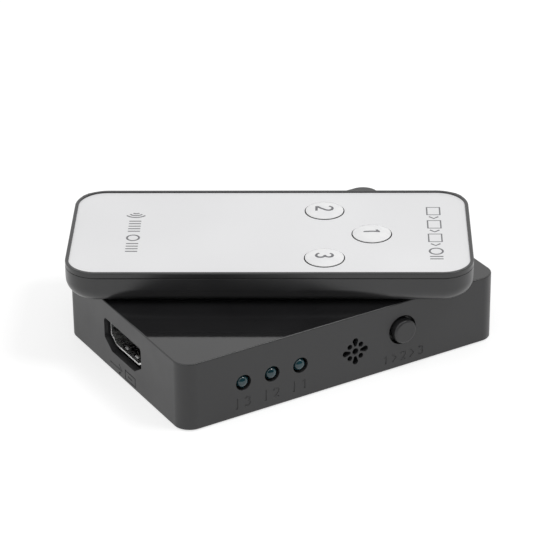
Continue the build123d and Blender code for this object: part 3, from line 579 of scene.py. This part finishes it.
def makeCaseTop():
    piece = copyNode("top_case", "caseTop")
    low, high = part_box("top_case")
    front = facePlace((0, low.y, 0), (1, 0, 0), (0, 0, 1))
    left = facePlace((low.x, 0, 0), (0, -1, 0), (0, 0, 1))
    width, flat = caseTop["lineWidth"], caseTop["lineFlat"]
    cutters = []

    def addMark(stroke, face, x, level):
        stroke.data.transform(face @ Matrix.Translation((x * mm, level * mm, 0)))
        cutters.append(stroke)

    level, half = caseTop["digitLevel"], caseTop["digitHeight"] / 2
    for i in (1, 2, 3):
        lampLow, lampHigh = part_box(f"status_light_{i}")
        middle = (lampLow.x + lampHigh.x) / 2 / mm
        digit = addDigit(i, caseTop["digitHeight"] - width, width, f"cutDigit{i}", flat)
        addMark(digit, front, middle + caseTop["digitShift"], level)
        tick = addStroke([(0, -half), (0, half)], width, f"cutTick{i}", False, flat)
        addMark(tick, front, middle + caseTop["tickShift"], level)
    level, half = caseTop["selectLevel"], caseTop["selectHeight"] / 2
    for i in range(3):
        digit = addDigit(i + 1, caseTop["selectHeight"], width, f"cutSelect{i}", flat)
        addMark(digit, front, caseTop["selectFirst"] + i * caseTop["selectStep"], level)
    points = [(-half / 2, half), (half / 2, 0), (-half / 2, -half)]
    for i in range(2):
        chevron = addStroke(points, width, f"cutChevron{i}", False, flat)
        addMark(chevron, front, caseTop["selectFirst"] + (i + 0.5) * caseTop["selectStep"], level)
    for i, (points, closed) in enumerate(caseTop["outputStrokes"]):
        addMark(addStroke(points, width, f"cutOutput{i}", closed, flat), left, 0, caseTop["outputLevel"])
    cutAway(piece, joinPieces(cutters))
    for vertex in piece.data.vertices:
        for axis in (0, 1, 2):
            for wall in (low[axis], high[axis]):
                if abs(vertex.co[axis] - wall) < caseTop["snap"] * mm:
                    vertex.co[axis] = wall

    def inMarks(spot):
        deep, level = caseTop["markDeep"] * mm, spot.z / mm
        onFront = spot.y < low.y + deep and caseTop["markBottom"] < level < caseTop["markFrontTop"]
        return onFront or (spot.x < low.x + deep and caseTop["markBottom"] < level < caseTop["markLeftTop"])

    breakEdges(piece, caseTop["edge"], leaves=inMarks)
    print("marks cut, faces now:", len(piece.data.polygons))
    piece.data.materials.clear()
    piece.data.materials.append(finishes["satinAbs"])
    piece.data.materials.append(finishes["polishedAbs"])
    roofLow = high.z - caseTop["polishDeep"] * mm
    for face in piece.data.polygons:
        onRoof = face.normal.z > caseTop["polishFrom"] and face.center.z > roofLow
        face.material_index = 1 if onRoof else 0
    finishPiece(piece, "switch_box", "satinAbs", ["top_case"])


makeCaseTop()
print("top case made")

# The pieces whose CAD shape only needs its edges broken: node, edge in mm, body, finish, slot
softened = {
    "coverPlate": ("bottom_cover", 0.08, "switch_box", "mattAbs", "cover_plastic"),
    "rubberFeet": ("rubber_feet", 0.05, "switch_box", "footRubber", "foot_rubber"),
    "jackBody": ("power_jack", 0.08, "switch_box", "glassFilledNylon", "insulator_black"),
    "remoteBelly": ("remote_lower_shell", 0.04, "remote", "remoteAbs", "remote_plastic"),
    "remoteLens": ("remote_lens", 0.08, "remote", "infraredResin", "dark_resin"),
    "trayBody": ("battery_tray", 0.08, "battery_tray", "remoteAbs", "remote_plastic"),
    "coinCell": ("coin_cell", 0.05, "battery_tray", "cellSteel", "cell_steel"),
}
for name, (node, edge, body, finish, slot) in softened.items():
    piece = copyNode(node, name)
    breakEdges(piece, edge)
    finishPiece(piece, body, finish, [node])

lampLens = {"smooth": 50}   # degrees
for i in (1, 2, 3):
    piece = copyNode(f"status_light_{i}", f"lampLens{i}")
    finishPiece(piece, "switch_box", "tealEpoxy", [f"status_light_{i}"], lampLens["smooth"])

sockets = {"shellEdge": 0.06, "insulatorEdge": 0.05}   # mm
for socket in ("output", "input_1", "input_2", "input_3"):
    piece = copyNode(f"{socket}_shell", f"{socket}Shell")
    breakEdges(piece, sockets["shellEdge"])
    finishPiece(piece, "switch_box", "nickelSheet", [f"{socket}_shell"])
    piece = copyNode(f"{socket}_insulator", f"{socket}Insulator")
    breakEdges(piece, sockets["insulatorEdge"])
    finishPiece(piece, "switch_box", "glassFilledNylon", [f"{socket}_insulator"])
    # the contacts take the gold taken down to grey: painted shade
    dressNode(f"{socket}_contacts", "goldFlashPaintedShade")
print("edges broken")

# Nodes whose CAD shape is right as it is
asTheyAre = {
    "case_screws": "zincSteel",
    "main_board": "boxMask",
    "power_jack_pin": "nickelSheet",
    "light_leads": "tinnedCopper",
    "infrared_receiver": "infraredResin",
    "receiver_leads": "tinnedCopper",
    "switch_plunger": "glassFilledNylon",
    "select_switch": "glassFilledNylon",
    "switch_chip": "chipEpoxy",
    "switch_chip_pins": "tinnedCopper",
    "control_chip": "chipEpoxy",
    "crystal": "drawnAluminium",
    "capacitors": "drawnAluminium",
    "small_components": "firedCeramic",
    "remote_board": "remoteMask",
    "snap_domes": "cellSteel",
    "remote_chip": "chipEpoxy",
    "resonator": "firedCeramic",
    "infrared_emitter": "infraredResin",
    "emitter_leads": "tinnedCopper",
    "battery_contacts": "goldFlashPaintedShade",
}
for node, finish in asTheyAre.items():
    dressNode(node, finish)
print("inner nodes dressed")

# Select button: the CAD cap with a round skirt behind the wall, which keeps the case's inside dark
selectCap = {
    "edge": 0.04,   # mm
    "head": 0.2,   # mm before the wall, where the head begins; it is fitted to the photo:
    "wider": 1.08,   # this much wider,
    "aside": 0.12,   # mm to the right, and as much down,
    "out": 0.25,   # and mm further out
    "wall": 1.6,   # of the case
    "skirtRadius": 3.9,
    "skirtThick": 0.5,
    "skirtBehind": 0.35,   # mm behind the case's wall
    "skirtEdge": 0.08,
    "skirtSides": 64,
    "boardClear": 0.12,   # mm, the skirt's flat stands this far over the board
    "smooth": 50,   # degrees
}


def makeSelectCap():
    piece = copyNode("select_button", "selectCap")
    low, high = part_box("select_button")
    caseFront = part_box("top_case")[0].y
    middle = (low + high) / 2
    aside = selectCap["aside"] * mm
    for vertex in piece.data.vertices:
        if vertex.co.y < caseFront - selectCap["head"] * mm:
            vertex.co.x = middle.x + (vertex.co.x - middle.x) * selectCap["wider"] + aside
            vertex.co.z = middle.z + (vertex.co.z - middle.z) * selectCap["wider"] - aside
            vertex.co.y -= selectCap["out"] * mm
    breakEdges(piece, selectCap["edge"])
    y = caseFront + (selectCap["wall"] + selectCap["skirtBehind"] + selectCap["skirtThick"] / 2) * mm
    bpy.ops.object.select_all(action="DESELECT")
    bpy.ops.mesh.primitive_cylinder_add(
        vertices=selectCap["skirtSides"],
        radius=selectCap["skirtRadius"] * mm,
        depth=selectCap["skirtThick"] * mm,
        location=(middle.x, y, middle.z),
        rotation=(radians(90), 0, 0),
    )
    skirt = bpy.context.object
    activate(skirt)
    bpy.ops.object.transform_apply(location=True, rotation=True, scale=True)
    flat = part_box("main_board")[1].z + selectCap["boardClear"] * mm
    startEdit(skirt)
    bpy.ops.mesh.bisect(plane_co=(0, 0, flat), plane_no=(0, 0, -1), clear_outer=True, use_fill=True)
    bpy.ops.object.mode_set(mode="OBJECT")
    breakEdges(skirt, selectCap["skirtEdge"])
    joinPieces([piece, skirt])
    finishPiece(piece, "select_button", "satinAbs", ["select_button"], selectCap["smooth"])


makeSelectCap()

# Frame, face and keys of the remote, fitted to the photo by a fraction of a millimetre
remoteFit = {
    "rimUp": 0.05,   # the frame stands this much higher,
    "rimOut": 0.07,   # this much further out,
    "rimDeep": 0.8,   # down to this far under the face plate,
    "pocketOut": 0.25,   # and its pocket is this much wider all round
    "pocketCore": (36.25, 13.0),   # mm from the middle, with round corners of this radius outside them:
    "pocketCorner": 6.4,
    "outer": (36.0, 17.5),   # mm from the middle, beyond which a corner counts as the outline
    "half": (42.0, 19.0),   # mm from the middle, where a corner of the outline moves by the whole amount
    "near": 0.02,   # mm, this near a level counts as on it
    "faceDown": 0.15,   # the face plate lies this much lower
    "faceOut": 0.27,   # and reaches this much further out
    "keyDown": 0.03,   # leaves room for the ink on the crown
    "keyShare": 0.982,   # the key's width as a share of the solid's, for the dark ring round it
    "filmUp": 0.07,   # mm over the face, where the film on a key ends and its black wall begins, black partly as painted shade
    "upright": 0.5,   # faces that look up less than this are walls
    "rimEdge": 0.04,
    "keyEdge": 0.05,
}
remoteLow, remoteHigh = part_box("remote_lower_shell")
plateLow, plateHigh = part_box("remote_face_plate")
plateTop = plateHigh.z - remoteFit["faceDown"] * mm
traySlide = [joint for joint in frame["joints"] if joint["name"] == "tray_slide"][0]
alongRemote = -Vector(traySlide["axis"])
acrossRemote = Vector((0, 0, 1)).cross(alongRemote)
remoteMiddle = (remoteLow + remoteHigh) / 2


def fromMiddle(point):
    # how far along and across the remote a point lies, in metres
    offset = point - remoteMiddle
    return offset.dot(alongRemote), offset.dot(acrossRemote)


def moveOut(point, distance):
    # moves a corner of the outline away from the remote's middle, by distance in mm
    along, across = fromMiddle(point)
    if abs(along) < remoteFit["outer"][0] * mm and abs(across) < remoteFit["outer"][1] * mm:
        return
    for reach, way, half in zip((along, across), (alongRemote, acrossRemote), remoteFit["half"]):
        point += way * (reach / (half * mm)) * distance * mm


def makeRemoteRim():
    piece = copyNode("remote_upper_shell", "remoteRim")
    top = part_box("remote_upper_shell")[1].z
    near = remoteFit["near"] * mm
    coreAlong, coreAcross = remoteFit["pocketCore"]
    for vertex in piece.data.vertices:
        along, across = [abs(reach) / mm for reach in fromMiddle(vertex.co)]
        # the pocket's outline lies inside this rounded rectangle, and the frame's outside it
        corner = max(along - coreAlong, 0) ** 2 + max(across - coreAcross, 0) ** 2
        inside = corner < remoteFit["pocketCorner"] ** 2
        inPocket = inside and vertex.co.z > plateLow.z - near
        if vertex.co.z > top - near:
            vertex.co.z += remoteFit["rimUp"] * mm
        if inPocket:
            moveOut(vertex.co, remoteFit["pocketOut"])
        elif vertex.co.z > plateLow.z - remoteFit["rimDeep"] * mm and not inside:
            moveOut(vertex.co, remoteFit["rimOut"])
    breakEdges(piece, remoteFit["rimEdge"])
    finishPiece(piece, "remote", "remoteAbs", ["remote_upper_shell"])


def blackWallsAndGapShade(piece, level=None):
    # upright walls show the black plastic under the film, and their black is also painted shade for the dark
    # gap ring round each key
    piece.data.materials.append(finishes["remoteAbs"])
    for face in piece.data.polygons:
        if abs(face.normal.z) < remoteFit["upright"] and (level is None or face.center.z < level):
            face.material_index = 1


def makeRemoteFace():
    piece = copyNode("remote_face_plate", "remoteFace")
    for vertex in piece.data.vertices:
        if vertex.co.z > plateHigh.z - remoteFit["near"] * mm:
            vertex.co.z = plateTop
        moveOut(vertex.co, remoteFit["faceOut"])
    piece.data.materials.append(finishes["silverFilm"])
    blackWallsAndGapShade(piece)
    finishPiece(piece, "remote", "silverFilm", ["remote_face_plate"])


def makeKey(i):
    piece = copyNode(f"remote_button_{i}", f"key{i}")
    low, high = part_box(f"remote_button_{i}")
    share = 1 - remoteFit["keyDown"] * mm / (high.z - low.z)
    foot = Vector(((low.x + high.x) / 2, (low.y + high.y) / 2, low.z))
    shrink = Matrix.Diagonal((remoteFit["keyShare"], remoteFit["keyShare"], share, 1))
    piece.data.transform(Matrix.Translation(foot) @ shrink @ Matrix.Translation(-foot))
    film = plateTop + remoteFit["filmUp"] * mm
    startEdit(piece)
    bpy.ops.mesh.bisect(plane_co=(0, 0, film), plane_no=(0, 0, 1))
    bpy.ops.object.mode_set(mode="OBJECT")
    breakEdges(piece, remoteFit["keyEdge"])
    piece.data.materials.append(finishes["embossedFilm"])
    blackWallsAndGapShade(piece, film)
    finishPiece(piece, f"remote_button_{i}", "embossedFilm", [f"remote_button_{i}"])


makeRemoteRim()
makeRemoteFace()
for i in (1, 2, 3):
    makeKey(i)
print("remote fitted")

# Print on the remote: digits on the keys and plain signs on the face
remotePrint = {
    "digitHeight": 3.5,   # mm, between the middles of its lines
    "digitLine": 0.54,
    "lineWidth": 0.42,
    "inkFlat": 0.06,   # the line's thickness as a share of its width
    "inkLift": 0.01,   # mm, the middle of the line over the key
    "crownCurve": 16.3,   # mm, radius of the keys' crowns
}


def onRemote(x, y, z):
    # a place on the remote, x along it and y across it in mm from its middle, z in metres
    spot = remoteMiddle + alongRemote * x * mm + acrossRemote * y * mm
    return Vector((spot.x, spot.y, z))


def makeKeyDigit(i):
    # ink laid over the key's crown
    low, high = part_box(f"remote_button_{i}")
    middle = (low + high) / 2
    height, width, flat = [remotePrint[name] for name in ("digitHeight", "digitLine", "inkFlat")]
    digit = addDigit(i, height, width, f"keyDigit{i}", flat)
    for vertex in digit.data.vertices:
        across = vertex.co.x ** 2 + vertex.co.y ** 2
        vertex.co.z += remotePrint["inkLift"] * mm - across / (2 * remotePrint["crownCurve"] * mm)
    top = (middle.x, middle.y, high.z - remoteFit["keyDown"] * mm)
    digit.data.transform(facePlace(top, -acrossRemote, alongRemote))
    finishPiece(digit, f"remote_button_{i}", "screenInk")


def makeFaceSign(name, x, y, strokes):
    # strokes are (points, closed), drawn with X to the viewer's reading way and Y towards the right end
    place = facePlace(onRemote(x, y, plateTop), -acrossRemote, alongRemote)
    parts = []
    for i, (points, closed) in enumerate(strokes):
        stroke = addStroke(points, remotePrint["lineWidth"], f"{name}{i}", closed, remotePrint["inkFlat"])
        stroke.data.transform(place)
        parts.append(stroke)
    piece = joinPieces(parts)
    piece.name = name
    finishPiece(piece, "remote", "screenInk")


# Three screens with a chevron after each, a ring and two bars
screenSigns = {
    "place": (35.2, -0.85),   # mm along and across the remote
    "starts": (-12.6, -6.2, 0.2),   # left sides of the screens
    "width": 3.6,
    "half": 1.4,   # half height of the screens and bars, and the ring's radius
    "chevron": (4.5, 5.4, 1.0),   # its back and tip from the screen's left side, and half its height
    "ring": 8.2,   # its middle
    "bars": (10.6, 11.7),
}
# Three waves, five bars, a ring and four bars
waveSigns = {
    "place": (-29.3, -0.85),
    "waves": -10.4,
    "waveRadii": (0.8, 1.7, 2.6),
    "waveAngle": 50,   # degrees to each side
    "half": 1.3,
    "ring": 1.9,   # its middle, and the middles of the bars on both sides of it
    "bars": [-6.0 + 1.2 * i for i in range(5)] + [4.6 + 1.2 * i for i in range(4)],
}


def ringAndBars(sign):
    # the ring's closing line makes up the full turn
    strokes = [(arc(sign["ring"], 0, sign["half"], 0, 342, 20), True)]
    return strokes + [([(x, -sign["half"]), (x, sign["half"])], False) for x in sign["bars"]]


for i in (1, 2, 3):
    makeKeyDigit(i)
strokes = []
half = screenSigns["half"]
back, tip, rise = screenSigns["chevron"]
for start in screenSigns["starts"]:
    end = start + screenSigns["width"]
    strokes.append(([(start, -half), (end, -half), (end, half), (start, half)], True))
    strokes.append(([(start + back, rise), (start + tip, 0), (start + back, -rise)], False))
makeFaceSign("screenSigns", *screenSigns["place"], strokes + ringAndBars(screenSigns))
angle = waveSigns["waveAngle"]
strokes = [(arc(waveSigns["waves"], 0, radius, -angle, angle), False) for radius in waveSigns["waveRadii"]]
makeFaceSign("waveSigns", *waveSigns["place"], strokes + ringAndBars(waveSigns))
print("print laid on the remote")


def addSeenRays(tree):
    # 1 for what the camera sees straight, in gloss or through glass, and 0 for the light that falls
    rays = addNode(tree, "ShaderNodeLightPath")
    direct = rays.outputs["Is Camera Ray"]
    for kind in ("Is Glossy Ray", "Is Transmission Ray"):
        seen = addNode(tree, "ShaderNodeMath", {"operation": "MAXIMUM"}, {0: direct, 1: rays.outputs[kind]})
        direct = seen.outputs[0]
    return direct


def addFloor():
    bpy.ops.mesh.primitive_plane_add(size=studio["floorSize"])
    floor = bpy.context.object
    floor.name = "floor"
    material = makeMaterial("paleFloor", studio["paleFloor"])
    tree = material.node_tree
    shader = tree.nodes["Principled BSDF"]
    white = addNode(tree, "ShaderNodeEmission", {"Color": (1, 1, 1, 1), "Strength": studio["floorGlow"]})
    seen = addSeenRays(tree)
    lift = addNode(tree, "ShaderNodeMath", {"operation": "MULTIPLY", 1: studio["floorLift"]}, {0: seen})
    links = {0: lift.outputs[0], 1: shader.outputs["BSDF"], 2: white.outputs["Emission"]}
    mixed = addNode(tree, "ShaderNodeMixShader", None, links)
    tree.links.new(mixed.outputs["Shader"], tree.nodes["Material Output"].inputs["Surface"])
    floor.data.materials.append(material)


def addSurround():
    world = bpy.data.worlds.new("surround")
    bpy.context.scene.world = world
    world.use_nodes = True
    tree = world.node_tree
    back = tree.nodes["Background"]
    back.inputs["Color"].default_value = (1, 1, 1, 1)
    settings = {"To Min": studio["fill"], "To Max": 1.0}
    strength = addNode(tree, "ShaderNodeMapRange", settings, {"Value": addSeenRays(tree)})
    tree.links.new(strength.outputs["Result"], back.inputs["Strength"])


def addLamp(name):
    lamp = studio[name]
    bpy.ops.object.light_add(type="AREA", location=lamp["place"])
    light = bpy.context.object
    light.name = name
    light.data.size = lamp["size"]
    light.data.energy = lamp["power"]
    light.rotation_mode = "QUATERNION"
    light.rotation_quaternion = (-Vector(lamp["place"])).to_track_quat("-Z", "Y")


def addCard():
    # black card above and behind the camera: without it, glossy domes would be grey all over
    card = studio["card"]
    bpy.ops.mesh.primitive_plane_add(size=1)
    sheet = bpy.context.object
    sheet.name = "blackCard"
    place = Matrix.Translation(card["place"]) @ Matrix.Rotation(radians(90 + card["tilt"]), 4, "X")
    sheet.data.transform(place @ Matrix.Diagonal((*card["size"], 1, 1)))
    sheet.data.materials.append(makeMaterial("blackFelt", studio["blackFelt"]))
    for kind in ("camera", "diffuse", "transmission", "volume_scatter", "shadow"):
        setattr(sheet, f"visible_{kind}", False)


def addCamera():
    bpy.ops.object.camera_add(location=Vector(view["place"]) * mm)
    camera = bpy.context.object
    camera.data.sensor_width = view["sensor"]
    camera.data.lens = view["lens"]
    camera.data.clip_start = view["clip"]
    look = Vector(view["target"]) - Vector(view["place"])
    camera.rotation_mode = "QUATERNION"
    camera.rotation_quaternion = look.to_track_quat("-Z", "Y") @ Quaternion((0, 0, 1), radians(view["roll"]))
    bpy.context.scene.camera = camera


addFloor()
addSurround()
addLamp("softBox")
addLamp("sideBox")
addCard()
addCamera()
bpy.context.scene.view_settings.view_transform = "Standard"
print("studio set")
